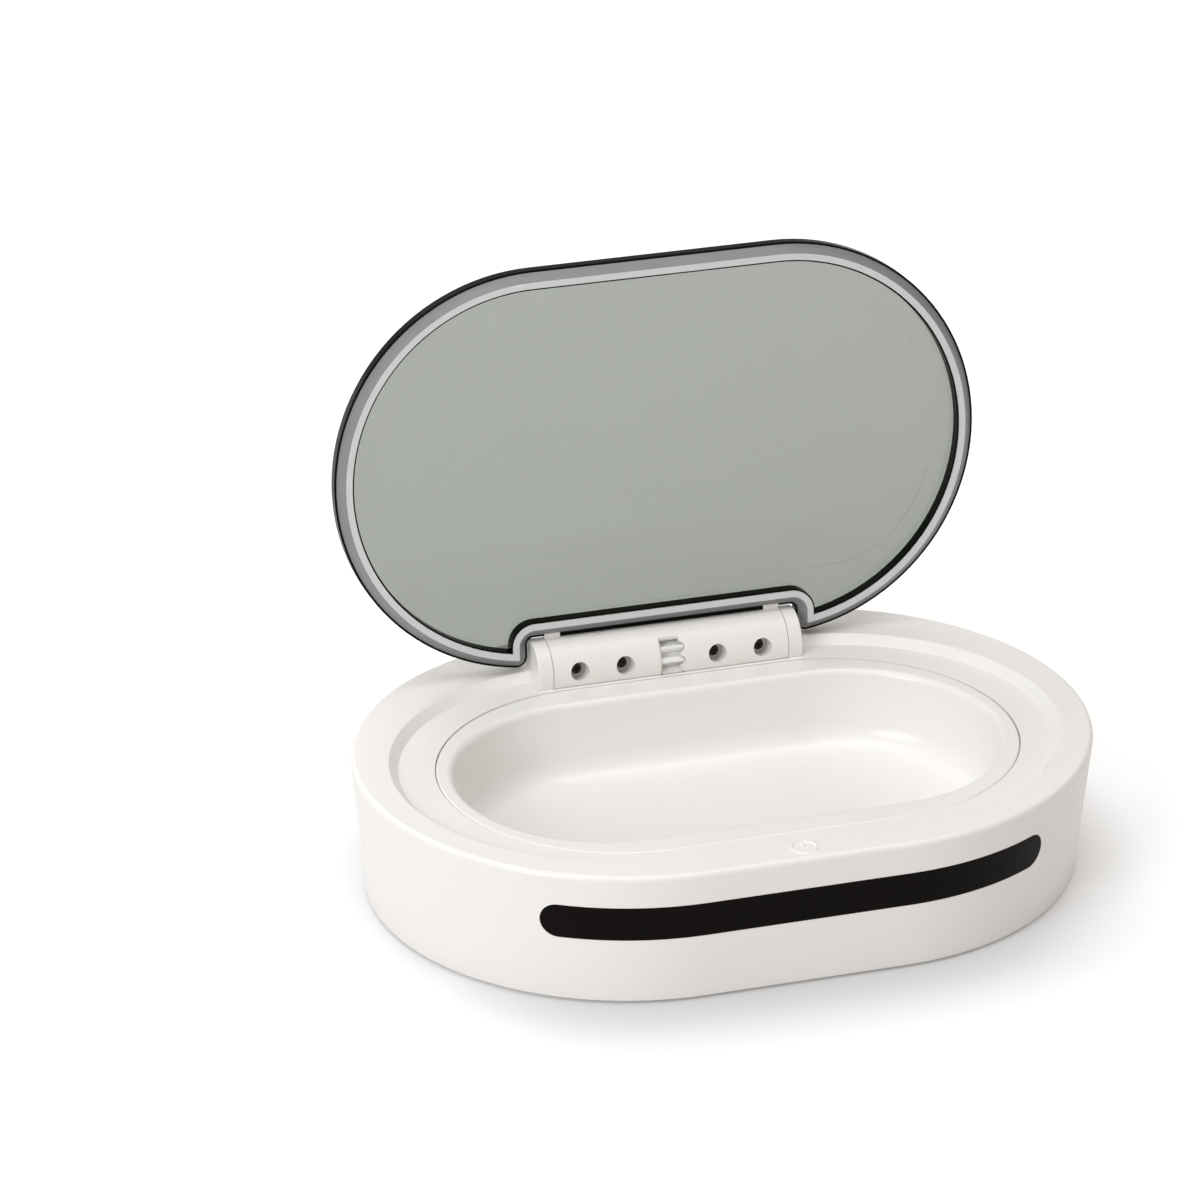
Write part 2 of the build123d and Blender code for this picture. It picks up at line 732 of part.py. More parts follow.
# ---- gears ------------------------------------------------------------------------------------------------
def involute_point(base_rad, radius, turn, hand):
    """Point of an involute flank at the given radius, turned to its tooth."""
    spread = (radius / base_rad) ** 2 - 1
    roll = spread ** 0.5 if spread > 0 else 0.0
    angle = turn + hand * (roll - atan(roll))
    return radius * cos(angle), radius * sin(angle)


def gear_profile(teeth):
    """Outline of an involute gear whose first tooth points along +X."""
    pitch = gear_module * teeth / 2
    base_rad = pitch * cos(radians(pressure_angle))
    tip = pitch + tooth_addendum * gear_module
    root = pitch - tooth_dedendum * gear_module
    start = max(base_rad, root)
    pitch_roll = tan(radians(pressure_angle)) - radians(pressure_angle)
    half = pi / (2 * teeth) - tooth_backlash / (4 * pitch)
    lines = []
    for tooth in range(teeth):
        middle = 2 * pi * tooth / teeth
        radii = [start, (start + pitch) / 2, pitch, (pitch + tip) / 2, tip]
        right_turn = middle - half - pitch_roll
        left_turn = middle + half + pitch_roll
        right = [involute_point(base_rad, r, right_turn, 1) for r in radii]
        left = [involute_point(base_rad, r, left_turn, -1) for r in reversed(radii)]
        next_turn = middle + 2 * pi / teeth - half - pitch_roll
        root_left = (root * cos(left_turn), root * sin(left_turn))
        root_right = (root * cos(next_turn), root * sin(next_turn))
        root_mid_turn = (left_turn + next_turn) / 2
        root_mid = (root * cos(root_mid_turn), root * sin(root_mid_turn))
        lines.append(Spline(*right))
        lines.append(ThreePointArc(right[-1], (tip * cos(middle), tip * sin(middle)), left[0]))
        lines.append(Spline(*left))
        lines.append(Line(left[-1], root_left))
        lines.append(ThreePointArc(root_left, root_mid, root_right))
        lines.append(Line(root_right, involute_point(base_rad, start, next_turn, 1)))
    return make_face(Wire(lines))


def gear_solid(teeth, x_low, x_high, first_tooth, z):
    """Gear on an X axis below or at the hinge; first_tooth is an angle measured up from -Y."""
    hub = Plane((x_low, hinge_y, z), x_dir=(0, 1, 0), z_dir=(1, 0, 0))
    face = hub * Rot(0, 0, 180 - first_tooth) * gear_profile(teeth)
    return extrude(face, amount=x_high - x_low)


def make_drive_gear():
    """Toothed sector inside the barrel, held by its square key."""
    disc = gear_solid(lid_teeth, gear_left, gear_right, sector_first, hinge_z)
    turns = [sector_start + k * tooth_turn for k in range(sector_teeth + 1)]
    hub_rad = gear_pitch - tooth_dedendum * gear_module - 0.4
    kept = fan(turns, gear_left, gear_right) + rod(gear_left, gear_right, hub_rad, hinge_y, hinge_z)
    ends = rod(scallop_x, gear_right + 1, 2 * barrel_rad, hinge_y, hinge_z)
    ends -= rod(scallop_x - 1, gear_right + 2, barrel_rad - barrel_wall - 0.2, hinge_y, hinge_z)
    lifts = [sector_start + (k + 0.5) * tooth_turn for k in range(sector_teeth)]
    for column in tooth_columns(lifts, tooth_end_rad):
        ends -= column
    key = key_side / 2
    stem = block(-key_len / 2, key_len / 2, hinge_y - key, hinge_y + key, hinge_z - key,
                 hinge_z + key)
    return (disc & kept) - ends + stem


def make_drive_pinion():
    half = pinion_width / 2
    pinion = gear_solid(pinion_teeth, -half, half, 90.0, pinion_z)
    return pinion - rod(-pinion_width, pinion_width, shaft_dia / 2 + seat_gap / 2, hinge_y, pinion_z)


def make_pinion_shaft():
    return rod(-bracket_half, bracket_half + 0.6 * gearbox_len, shaft_dia / 2, hinge_y, pinion_z)


# ---- drive unit ------------------------------------------------------------------------------------------
def make_drive_bracket():
    y_low = hinge_y - bracket_wid / 2
    y_high = hinge_y + bracket_wid / 2
    bracket = block(-bracket_half, bracket_half, y_low, y_high, cover_top, cover_top + bracket_wall)
    for side in (-1, 1):
        low, high = sorted((side * bracket_half, side * (bracket_half - bracket_wall)))
        bracket += block(low, high, y_low, y_high, cover_top, bracket_top)
    return bracket - rod(-2 * bracket_half, 2 * bracket_half, shaft_dia / 2 + pin_clear,
                         hinge_y, pinion_z)


def make_gearbox():
    x_low = bracket_half
    case = block(x_low, x_low + gearbox_len, hinge_y - gearbox_wid / 2, hinge_y + gearbox_wid / 2,
                 gearbox_low, gearbox_high)
    upright = [e for e in case.edges() if abs(e.center().X - x_low - gearbox_len / 2) < 0.01]
    case = fillet(upright, gearbox_corner)
    return case - rod(x_low - 1, x_low + 0.7 * gearbox_len, shaft_dia / 2 + pin_clear,
                      hinge_y, pinion_z)


def make_motor():
    start = bracket_half + gearbox_len
    can = rod(start, start + motor_len, motor_dia / 2, hinge_y, motor_z)
    rear = [e for e in can.edges() if abs(e.center().X - start - motor_len) < 0.05]
    can = chamfer(rear, motor_edge)
    end = start + motor_len
    return can + rod(end - 1, end + motor_cap_len, motor_cap_rad, hinge_y, motor_z)


def motor_saddle():
    middle = bracket_half + gearbox_len + motor_len / 2
    low = middle - saddle_len / 2
    high = middle + saddle_len / 2
    rest = block(low, high, hinge_y - saddle_wid / 2, hinge_y + saddle_wid / 2, cover_top - 0.5,
                 motor_z - motor_dia / 4)
    return rest - rod(low - 1, high + 1, motor_dia / 2 + seat_gap, hinge_y, motor_z)


# ---- electrics -----------------------------------------------------------------------------------------------
def make_battery_cell(side):
    """Cell lying along Y in the tray at one end of the base."""
    half = cell_len / 2
    upright = Pos(side * cell_x, 0, cell_z) * Rot(90, 0, 0)
    cell = Cylinder(cell_dia / 2, cell_len - cell_cap)
    cell = chamfer([e for e in cell.edges() if e.geom_type == GeomType.CIRCLE], cell_edge)
    cap = Pos(0, 0, (cell_len - cell_cap) / 2) * Cylinder(cell_cap_rad, 2 * cell_cap)
    return upright * Pos(0, 0, half - (cell_len + cell_cap) / 2) * (cell + cap)


def make_battery_tray(side):
    half_len = cell_len / 2 + cell_room
    half_wid = cell_dia / 2 + cell_room
    outer = Box(2 * tray_half, 2 * (half_len + tray_wall), tray_wall + cell_dia / 2,
                align=(Align.CENTER, Align.CENTER, Align.MIN))
    room = Box(2 * half_wid, 2 * half_len, cell_dia, align=(Align.CENTER, Align.CENTER, Align.MIN))
    return Pos(side * cell_x, 0, cover_top) * (outer - Pos(0, 0, tray_wall) * room)


def make_charge_port():
    outer = base_wid / 2 - wall_inset(port_z)
    body = port_space(0) & block(port_x - port_len, port_x + port_len, 0, outer - port_sunk,
                                 port_z - port_high, port_z + port_high)
    mouth = Plane((port_x, outer, port_z), x_dir=(1, 0, 0), z_dir=(0, -1, 0))
    mouth_len = port_len - 2 * port_skin
    mouth_high = port_high - 2 * port_skin
    body -= extrude(mouth * SlotOverall(mouth_len, mouth_high), amount=port_deep - port_back)
    tongue = block(port_x - tongue_len / 2, port_x + tongue_len / 2, outer - port_deep + 1,
                   outer - port_sunk, port_z - tongue_thick / 2, port_z + tongue_thick / 2)
    return body + tongue


def make_main_board():
    top = board_z + board_thick
    parts = [(0, board_len, board_wid, board_z, board_thick),
             (0, chip_len, chip_wid, top, chip_high),
             (radio_x, radio_len, radio_wid, top, radio_high),
             (socket_x, socket_len, socket_wid, top, socket_high)]
    board = None
    for x, length, width, z, height in parts:
        piece = Pos(x, board_y(), z + height / 2) * Box(length, width, height)
        board = piece if board is None else board + piece
    for x in capacitor_places:
        board += post(x, board_y() + capacitor_rad, capacitor_rad, top, top + capacitor_high)
    return board


def make_sensor_board():
    front = sensor_board_y()
    middle = (window_low + window_high) / 2
    half = sensor_len / 2
    board = block(-half, half, front, front + board_thick, window_low + 1, window_high - 1)
    for x in lens_places:
        lens = Pos(x, front, middle) * Rot(90, 0, 0) * Cylinder(lens_rad, 2 * sensor_lens_len)
        board += lens
    return board - block(-half - 1, half + 1, front + board_thick, front + 9, 0, base_height)


def make_antenna_coil():
    inner_len = coil_inner_len()
    inner_wid = coil_inner_wid()
    outer = stadium(inner_len + 2 * coil_thick, inner_wid + 2 * coil_thick, -bowl_shift, coil_z)
    inner = stadium(inner_len, inner_wid, -bowl_shift, coil_z - 1)
    return extrude(outer, amount=coil_thick) - extrude(inner, amount=coil_thick + 2)


def make_touch_pad():
    y = -(base_wid / 2 + recess_wid / 2 + rear_shift) / 2
    return post(0, y, touch_dia / 2, rim_under - touch_thick, rim_under)


# ---- all pieces ------------------------------------------------------------------------------------------------
def collect():
    outline = lid_outline()
    barrel = barrel_solid()
    pieces = {
        "base_shell": make_base_shell(),
        "bottom_cover": make_bottom_cover(),
        "front_window": make_front_window(),
        "food_bowl": make_bowl(),
        "lid_panel": make_lid_panel(outline),
        "lid_gasket": make_gasket(outline),
        "hinge_cover": make_hinge_cover(barrel),
        "hinge_carrier": make_hinge_carrier(barrel),
        "hinge_pedestal_left": make_pedestal(-1),
        "hinge_pedestal_right": make_pedestal(1),
        "hinge_pin_left": make_hinge_pin(-1),
        "hinge_pin_right": make_hinge_pin(1),
        "drive_gear": make_drive_gear(),
        "drive_pinion": make_drive_pinion(),
        "pinion_shaft": make_pinion_shaft(),
        "drive_bracket": make_drive_bracket(),
        "gearbox": make_gearbox(),
        "motor": make_motor(),
        "charge_port": make_charge_port(),
        "main_board": make_main_board(),
        "sensor_board": make_sensor_board(),
        "antenna_coil": make_antenna_coil(),
        "touch_pad": make_touch_pad(),
    }
    for side, word in ((-1, "left"), (1, "right")):
        pieces[f"battery_tray_{word}"] = make_battery_tray(side)
        pieces[f"battery_cell_{word}"] = make_battery_cell(side)
    corners = [(sx * foot_x, sy * foot_y) for sx in (-1, 1) for sy in (-1, 1)]
    for number, (x, y) in enumerate(corners, 1):
        pieces[f"foot_{number}"] = make_foot(x, y)
    for number, (x, y) in enumerate(base_boss_places(), 1):
        pieces[f"base_screw_{number}"] = make_base_screw(x, y)
    for number, x in enumerate(screw_places, 1):
        pieces[f"hinge_screw_{number}"] = make_hinge_screw(x)
    return pieces


for name, shape in collect().items():
    export_step(shape, f"parts/{name}.step")
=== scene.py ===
# Microchip pet feeder: finishes, small surface details, light and camera.
# Lengths are metres in the part's own frame: +X to the right, -Y to the front, +Z up.

import json
import math

import bmesh
import bpy
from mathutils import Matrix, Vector


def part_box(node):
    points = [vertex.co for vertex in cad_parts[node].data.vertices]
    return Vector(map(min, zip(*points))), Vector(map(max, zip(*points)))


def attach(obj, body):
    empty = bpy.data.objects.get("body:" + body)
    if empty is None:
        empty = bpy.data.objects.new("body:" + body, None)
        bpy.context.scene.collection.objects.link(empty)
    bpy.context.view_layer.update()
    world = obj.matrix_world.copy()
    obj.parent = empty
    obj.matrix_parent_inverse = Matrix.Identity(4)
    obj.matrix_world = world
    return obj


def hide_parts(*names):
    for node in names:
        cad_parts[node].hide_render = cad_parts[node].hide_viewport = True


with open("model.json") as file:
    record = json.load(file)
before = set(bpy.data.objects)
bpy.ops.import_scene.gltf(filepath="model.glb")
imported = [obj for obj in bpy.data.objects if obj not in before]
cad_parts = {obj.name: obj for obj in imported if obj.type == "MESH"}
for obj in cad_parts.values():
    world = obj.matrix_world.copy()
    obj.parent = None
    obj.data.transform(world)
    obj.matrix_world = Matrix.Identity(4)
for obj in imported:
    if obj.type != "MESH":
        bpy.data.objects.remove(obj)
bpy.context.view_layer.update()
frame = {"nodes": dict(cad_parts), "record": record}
NODES = frame["nodes"]

MM = 0.001

# ---- camera --------------------------------------------------------------------------------------
CAMERA_AZIMUTH = -17.0    # degrees from straight ahead; below 0 is to the left
CAMERA_ELEVATION = 25.19
CAMERA_DISTANCE = 2.5
CAMERA_AIM = (-0.0371, 0.0632, 0.1054)
CAMERA_LENS = 169.35      # millimetres, as the sensor's width is
CAMERA_SENSOR = 36.0

# ---- studio --------------------------------------------------------------------------------------
FLOOR_SIZE = 14.0
FLOOR_PAINT = 0.8         # share of the light that the floor gives back
PAINTED_SHADOW_REACH = 0.060     # how far out the floor looks for the object, within which its colour is darkened as painted shadow
FOOT_OPEN = 0.45          # share of open sky over the floor at the object's foot
CLEAR_OPEN = 0.97         # and where the darkening ends
FRONT_SHADE = 0.50        # the floor's brightness under the painted shadow at the foot, in front of the object
SIDE_SHADE = 0.80         # and beside and behind it
FRONT_SHADE_Y = -0.13     # the one holds in front of this
SIDE_SHADE_Y = -0.07      # and the other behind this
FLOOR_LIFT = 0.30         # light that only the camera and clear or shiny surfaces see on the floor
FAR_LIFT = 0.85           # the same where the lamps don't reach
LIT_RADIUS = 0.4          # the lamps light the floor evenly this far out
DIM_RADIUS = 2.4          # and reach it no more from here
FILL_LIGHT = 0.43         # strength of the light from all round
FILL_COLOUR = "FFF4EA"
LAMP_COLOUR = "F7FBFF"
WHITE = "FFFFFF"
# Name, place, the point it faces, width and watts.
LAMPS = (
    ("key_left", (-1.6, -1.1, 1.1), (0.0, 0.0, 0.05), 1.2, 20.0),
    ("top", (0.0, -0.1, 2.2), (0.0, 0.0, 0.05), 1.8, 21.0),
    ("rear", (-0.5, 1.7, 1.5), (0.0, 0.05, 0.05), 1.4, 12.0),
)


# ---- colours and nodes ---------------------------------------------------------------------------
def linear(hex_colour):
    """sRGB hex value as linear RGBA."""
    channels = [int(hex_colour[i:i + 2], 16) / 255 for i in (0, 2, 4)]
    straight = [c / 12.92 if c <= 0.04045 else ((c + 0.055) / 1.055) ** 2.4 for c in channels]
    return (*straight, 1.0)


def node(tree, kind, inputs, **settings):
    """Add a node. Each input is given a value, a socket, or a node whose first output it takes."""
    made = tree.nodes.new(kind)
    for name, value in settings.items():
        setattr(made, name, value)
    for name, value in inputs.items():
        if isinstance(value, bpy.types.Node):
            value = value.outputs[0]
        if isinstance(value, bpy.types.NodeSocket):
            tree.links.new(value, made.inputs[name])
        else:
            made.inputs[name].default_value = value
    return made


def new_material(name):
    """Material with an empty tree; returned with the tree and the piece's Object coordinates."""
    material = bpy.data.materials.new(name)
    material.use_nodes = True
    tree = material.node_tree
    tree.nodes.clear()
    place = node(tree, "ShaderNodeTexCoord", {}).outputs["Object"]
    return material, tree, place


def mottled(name, size, detail, colours, gloss, bumps, fixed):
    """Material whose colour, gloss and bumps follow one noise.

    The noise's grains are about size across, and where there are bumps they are that high. Colours
    and gloss each give two ends, and fixed holds the inputs that are the same all over.
    """
    material, tree, place = new_material(name)
    grains = node(tree, "ShaderNodeTexNoise", {"Vector": place, "Scale": 1 / size, "Detail": detail})
    dark, light = colours
    colour = node(tree, "ShaderNodeMix", {0: grains, 6: linear(dark), 7: linear(light)},
                  data_type="RGBA")
    shiny, dull = gloss
    inputs = dict(fixed)
    inputs["Base Color"] = colour.outputs[2]
    inputs["Roughness"] = node(tree, "ShaderNodeMapRange",
                               {"Value": grains, "To Min": shiny, "To Max": dull})
    if bumps:
        inputs["Normal"] = node(tree, "ShaderNodeBump", {"Height": grains, "Distance": bumps})
    skin = node(tree, "ShaderNodeBsdfPrincipled", inputs)
    node(tree, "ShaderNodeOutputMaterial", {"Surface": skin})
    return material


# ---- materials -----------------------------------------------------------------------------------
FLOW_MARK = 60.0 * MM     # size of the cloudy patches that plastic leaves as it fills a mould
PANEL_TAKES = 0.437       # share of the light that each face of the smoked panel doesn't let through
WIRE_STEP = 0.45 * MM     # from turn to turn of a coil
TRACK_STEP = 2.22 * MM    # from track to track of the board
WAVES = 20 / math.tau     # bands that a Wave texture has in each unit at a scale of 1


def moulded_abs(name, dark, light, gloss, peel_size, peel_depth):
    """Injection-moulded ABS: an even colour, a satin skin and the faint orange peel of the mould."""
    material, tree, place = new_material(name)
    peel = node(tree, "ShaderNodeTexNoise", {"Vector": place, "Scale": 1 / peel_size, "Detail": 3.0})
    flow = node(tree, "ShaderNodeTexNoise", {"Vector": place, "Scale": 1 / FLOW_MARK, "Detail": 1.0})
    colour = node(tree, "ShaderNodeMix", {0: flow, 6: linear(dark), 7: linear(light)},
                  data_type="RGBA")
    rough = node(tree, "ShaderNodeMapRange",
                 {"Value": peel, "To Min": gloss - 0.03, "To Max": gloss + 0.03})
    bumps = node(tree, "ShaderNodeBump", {"Height": peel, "Distance": peel_depth})
    skin = node(tree, "ShaderNodeBsdfPrincipled",
                {"Base Color": colour.outputs[2], "Roughness": rough, "IOR": 1.54, "Normal": bumps})
    node(tree, "ShaderNodeOutputMaterial", {"Surface": skin})
    return material


def smoked_polycarbonate():
    """Smoked polycarbonate, injection moulded and polished: a grey-green tint with sharp
    reflections. Each of its two faces lets a little over half of the light straight through and
    tints it, so that what lies behind the panel and in its shadow stays lit."""
    material, tree, place = new_material("smoked_polycarbonate")
    swell = node(tree, "ShaderNodeTexNoise", {"Vector": place, "Scale": 1 / (45.0 * MM), "Detail": 0.0})
    bumps = node(tree, "ShaderNodeBump", {"Height": swell, "Distance": 0.01 * MM, "Strength": 0.15})
    skin = node(tree, "ShaderNodeBsdfPrincipled", {
        "Base Color": linear("2A2C2A"),
        "Roughness": 0.01,
        "IOR": 1.585,
        "Specular IOR Level": 0.7,
        "Normal": bumps,
    })
    through = node(tree, "ShaderNodeBsdfTransparent", {"Color": linear("FBFFFA")})
    both = node(tree, "ShaderNodeMixShader", {0: PANEL_TAKES, 1: through, 2: skin})
    node(tree, "ShaderNodeOutputMaterial", {"Surface": both})
    return material


def smoked_edge_and_shade():
    """The same polycarbonate looked at along the sheet: the tint adds up over a long way, so its cut
    edges and the sides of its rib look green-black and glossy. The same colour is also painted on a band
    of the clear face along its edge, and on the notch's edge that is brought down into the gap over the
    barrel, where it stands in for the shade there: painted shade."""
    return mottled("smoked_polycarbonate_edge_and_painted_shade", size=12.0 * MM, detail=2.0,
                   colours=("070B07", "0E140D"), gloss=(0.22, 0.30), bumps=None,
                   fixed={"IOR": 1.585, "Specular IOR Level": 0.03})


def moulded_silicone(name, dark, light, gloss):
    """Moulded grey silicone: soft, slightly translucent, with a dull bloom."""
    material, tree, place = new_material(name)
    bloom = node(tree, "ShaderNodeTexNoise", {"Vector": place, "Scale": 1 / (9.0 * MM), "Detail": 4.0})
    colour = node(tree, "ShaderNodeMix", {0: bloom, 6: linear(dark), 7: linear(light)},
                  data_type="RGBA")
    rough = node(tree, "ShaderNodeMapRange",
                 {"Value": bloom, "To Min": gloss - 0.05, "To Max": gloss + 0.05})
    pores = node(tree, "ShaderNodeTexNoise", {"Vector": place, "Scale": 1 / (0.6 * MM), "Detail": 2.0})
    skin = node(tree, "ShaderNodeBsdfPrincipled", {
        "Base Color": colour.outputs[2],
        "Roughness": rough,
        "IOR": 1.41,
        "Subsurface Weight": 0.1,
        "Subsurface Radius": (MM, MM, MM),
        "Subsurface Scale": 1.0,
        "Normal": node(tree, "ShaderNodeBump", {"Height": pores, "Distance": 0.01 * MM}),
    })
    node(tree, "ShaderNodeOutputMaterial", {"Surface": skin})
    return material


def infrared_window():
    """Infrared-clear acrylic: near-black and smooth, with a dulled face."""
    return mottled("infrared_acrylic", size=14.0 * MM, detail=3.0,
                   colours=("0A0705", "100C09"), gloss=(0.34, 0.42), bumps=None,
                   fixed={"IOR": 1.49, "Specular IOR Level": 0.05})


def plated_steel():
    """Bright zinc-plated steel: fine turning lines and a pale, slightly blue shine."""
    material, tree, place = new_material("zinc_plated_steel")
    # Turning lines are about 0.1 mm apart; drawn at 0.35 mm so that they show.
    lines = node(tree, "ShaderNodeTexNoise", {"Vector": place, "Scale": 1 / (0.35 * MM), "Detail": 2.0})
    zinc = node(tree, "ShaderNodeTexNoise", {"Vector": place, "Scale": 1 / (3.0 * MM), "Detail": 2.0})
    colour = node(tree, "ShaderNodeMix", {0: zinc, 6: linear("B4B7BA"), 7: linear("C6C9CC")},
                  data_type="RGBA")
    skin = node(tree, "ShaderNodeBsdfPrincipled", {
        "Base Color": colour.outputs[2],
        "Metallic": 1.0,
        "Roughness": node(tree, "ShaderNodeMapRange", {"Value": lines, "To Min": 0.26, "To Max": 0.42}),
        "Normal": node(tree, "ShaderNodeBump", {"Height": lines, "Distance": 0.01 * MM}),
    })
    node(tree, "ShaderNodeOutputMaterial", {"Surface": skin})
    return material


def black_oxide_steel():
    """Cold-headed steel with a black oxide coat: dark, slightly oily and unevenly dull."""
    return mottled("black_oxide_steel", size=0.8 * MM, detail=3.0,
                   colours=("2E2C2A", "45423E"), gloss=(0.38, 0.52), bumps=0.01 * MM,
                   fixed={"Metallic": 1.0})


def rubber_foot():
    """Moulded thermoplastic rubber: matt, dusty grey."""
    return mottled("grey_rubber", size=1.2 * MM, detail=4.0,
                   colours=("3A3A3A", "484848"), gloss=(0.75, 0.90), bumps=0.05 * MM,
                   fixed={"IOR": 1.5})


def acetal_gear():
    """Natural acetal: milky white, slightly waxy and translucent."""
    return mottled("natural_acetal", size=5.0 * MM, detail=2.0,
                   colours=("EAEAE8", "F1F1EF"), gloss=(0.32, 0.40), bumps=None,
                   fixed={"IOR": 1.48, "Subsurface Weight": 0.2, "Subsurface Radius": (MM, MM, MM),
                          "Subsurface Scale": 1.0})


def solder_mask():
    """Fibreglass board under green solder mask, with tracks showing through as lighter lines."""
    material, tree, place = new_material("green_solder_mask")
    row = 0.4             # of the pattern, across one track
    tracks = node(tree, "ShaderNodeTexBrick",
                  {"Vector": place, "Scale": row / TRACK_STEP, "Mortar Size": 0.03,
                   "Brick Width": 4 * row, "Row Height": row, "Color1": linear("0E4A22"),
                   "Color2": linear("125427"), "Mortar": linear("2A7A45")})
    skin = node(tree, "ShaderNodeBsdfPrincipled", {"Base Color": tracks, "Roughness": 0.3, "IOR": 1.5})
    node(tree, "ShaderNodeOutputMaterial", {"Surface": skin})
    return material


def wound_copper():
    """Varnished copper wire laid turn on turn: fine ridges round the winding."""
    material, tree, place = new_material("enamelled_copper")
    turns = node(tree, "ShaderNodeTexWave",
                 {"Vector": place, "Scale": 1 / (WAVES * WIRE_STEP), "Distortion": 0.3},
                 bands_direction="Z")
    height = turns.outputs["Fac"]
    colour = node(tree, "ShaderNodeMix", {0: height, 6: linear("8A4A20"), 7: linear("C4783C")},
                  data_type="RGBA")
    skin = node(tree, "ShaderNodeBsdfPrincipled", {
        "Base Color": colour.outputs[2],
        "Metallic": 0.9,
        "Roughness": 0.3,
        "Normal": node(tree, "ShaderNodeBump", {"Height": height, "Distance": 0.15 * MM}),
    })
    node(tree, "ShaderNodeOutputMaterial", {"Surface": skin})
    return material


def cell_wrap():
    """Cell in blue shrink film: glossy and slightly wrinkled."""
    material, tree, place = new_material("blue_shrink_film")
    wrinkle = node(tree, "ShaderNodeTexNoise", {"Vector": place, "Scale": 1 / (6.0 * MM), "Detail": 2.0})
    colour = node(tree, "ShaderNodeMix", {0: wrinkle, 6: linear("1B4E86"), 7: linear("245C98")},
                  data_type="RGBA")
    skin = node(tree, "ShaderNodeBsdfPrincipled", {
        "Base Color": colour.outputs[2],
        "Roughness": 0.25,
        "IOR": 1.53,
        "Normal": node(tree, "ShaderNodeBump", {"Height": wrinkle, "Distance": 0.05 * MM}),
    })
    node(tree, "ShaderNodeOutputMaterial", {"Surface": skin})
    return material


def plain_plastic(name, dark, light, gloss):
    """Moulded black plastic of the drive and the inlet: even and slightly dull."""
    return mottled(name, size=1.0 * MM, detail=3.0, colours=(dark, light),
                   gloss=(gloss - 0.05, gloss + 0.05), bumps=0.02 * MM, fixed={"IOR": 1.5})


def finish_nodes():
    """Give each CAD node the material of its slot in the record."""
    zinc = plated_steel()
    copper = wound_copper()
    finishes = {
        "shell_plastic": moulded_abs("white_abs_shell", "EFEDEA", "F2F0EE", 0.40, 0.9 * MM, 0.006 * MM),
        "bowl_plastic": moulded_abs("white_abs_bowl", "F0EEEB", "F3F1EF", 0.30, 1.2 * MM, 0.004 * MM),
        "hinge_plastic": moulded_abs("white_abs_hinge", "EFEDE9", "F2F0ED", 0.36, 0.9 * MM, 0.006 * MM),
        "cover_plastic": moulded_abs("spark_textured_abs", "DAD8D4", "DFDDDA", 0.62, 0.5 * MM, 0.03 * MM),
        "smoked_panel": smoked_polycarbonate(),
        "seal_rubber": moulded_silicone("grey_silicone_lip", "CFD0D2", "D8D9DB", 0.30),
        "window_plastic": infrared_window(),
        "gear_plastic": acetal_gear(),
        "foot_rubber": rubber_foot(),
        "port_plastic": plain_plastic("black_liquid_crystal_polymer", "0B0B0B", "101010", 0.45),
        "gearbox_plastic": plain_plastic("black_glass_filled_nylon", "141414", "1B1B1B", 0.55),
        "cell_jacket": cell_wrap(),
        "board_green": solder_mask(),
        "coil_copper": copper,
        "touch_copper": copper,
        "motor_steel": zinc,
        "steel": zinc,
        "black_steel": black_oxide_steel(),
    }
    slots = {part["node"]: part["material_slot"] for part in frame["record"]["subparts"]}
    for name, piece in NODES.items():
        piece.data.materials.clear()
        piece.data.materials.append(finishes[slots[name]])
    return finishes


# ---- lid -----------------------------------------------------------------------------------------
LID_LEAN = math.radians(5.0)    # of the open lid, backwards
LID_FACING = Vector((0.0, -math.cos(LID_LEAN), math.sin(LID_LEAN)))
LID_UP = Vector((0.0, math.sin(LID_LEAN), math.cos(LID_LEAN)))
LID_HALF = 149.0 * MM     # half the lid's length
LID_RADIUS = 92.7 * MM    # half the lid's depth, also the radius of its round ends
LID_REACH = 186.7 * MM    # hinge axis to the lid's far edge
STRAIGHT_HALF = LID_HALF - LID_RADIUS    # half the straight run of its long edges
NOTCH_HALF = 63.5 * MM    # of the notch round the hinge block
NOTCH_REACH = 15.5 * MM   # hinge axis to the notch's edge
NOTCH_NEAR = 0.05 * MM    # no further from the notch's edge than this is on it
NOTCH_DROP = 0.9 * MM     # the notch's edge comes this far down between the two arms, where its dark edge is painted shade in the gap
ARM_SIDE = 48.0 * MM      # the arms' inner sides are just inside this, either way from the middle
DARK_MARGIN = 1.1 * MM    # border outside the seal, painted in the dark edge colour over the clear face
EDGE_ON = 0.5             # cosine below which a face of the panel counts as its edge
RIB_STANDS = 1.0 * MM     # the rib inside the seal stands at least this far out of the panel
SEAL_BACK = 0.02 * MM     # nearer to the panel than this is the seal's back
SEAL_OFF = 0.05 * MM      # the seal's back stands this far off the panel
SKIRT_WIDE = 4.6 * MM     # edge of the lid to the top of the seal's slope
LIP_FACING = 0.95         # cosine above which a face of the seal is its flat lip or its back
JOINED = 0.001 * MM       # corners nearer to each other than this are one


def merged_copy(name):
    """Copy of a CAD node with its corners joined, so that its faces share their edges."""
    mesh = NODES[name].data.copy()
    mesh.name = name + "_finished"
    work = bmesh.new()
    work.from_mesh(mesh)
    bmesh.ops.remove_doubles(work, verts=work.verts, dist=JOINED)
    work.to_mesh(mesh)
    work.free()
    piece = bpy.data.objects.new(name + "_finished", mesh)
    bpy.context.scene.collection.objects.link(piece)
    return piece


def hinge_axis():
    """The point of the hinge's axis that is in the middle of the lid."""
    low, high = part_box("hinge_pin_left")
    return Vector((0.0, (low.y + high.y) / 2, (low.z + high.z) / 2))


def inside_outline(place, axis):
    """How far a place in the lid is from the edge of the oval or of its notch."""
    up = (place - axis).dot(LID_UP)
    across = max(abs(place.x) - STRAIGHT_HALF, 0.0)
    oval = LID_RADIUS - math.hypot(across, up - (LID_REACH - LID_RADIUS))
    notch = math.hypot(max(abs(place.x) - NOTCH_HALF, 0.0), max(up - NOTCH_REACH, 0.0))
    return min(oval, notch)


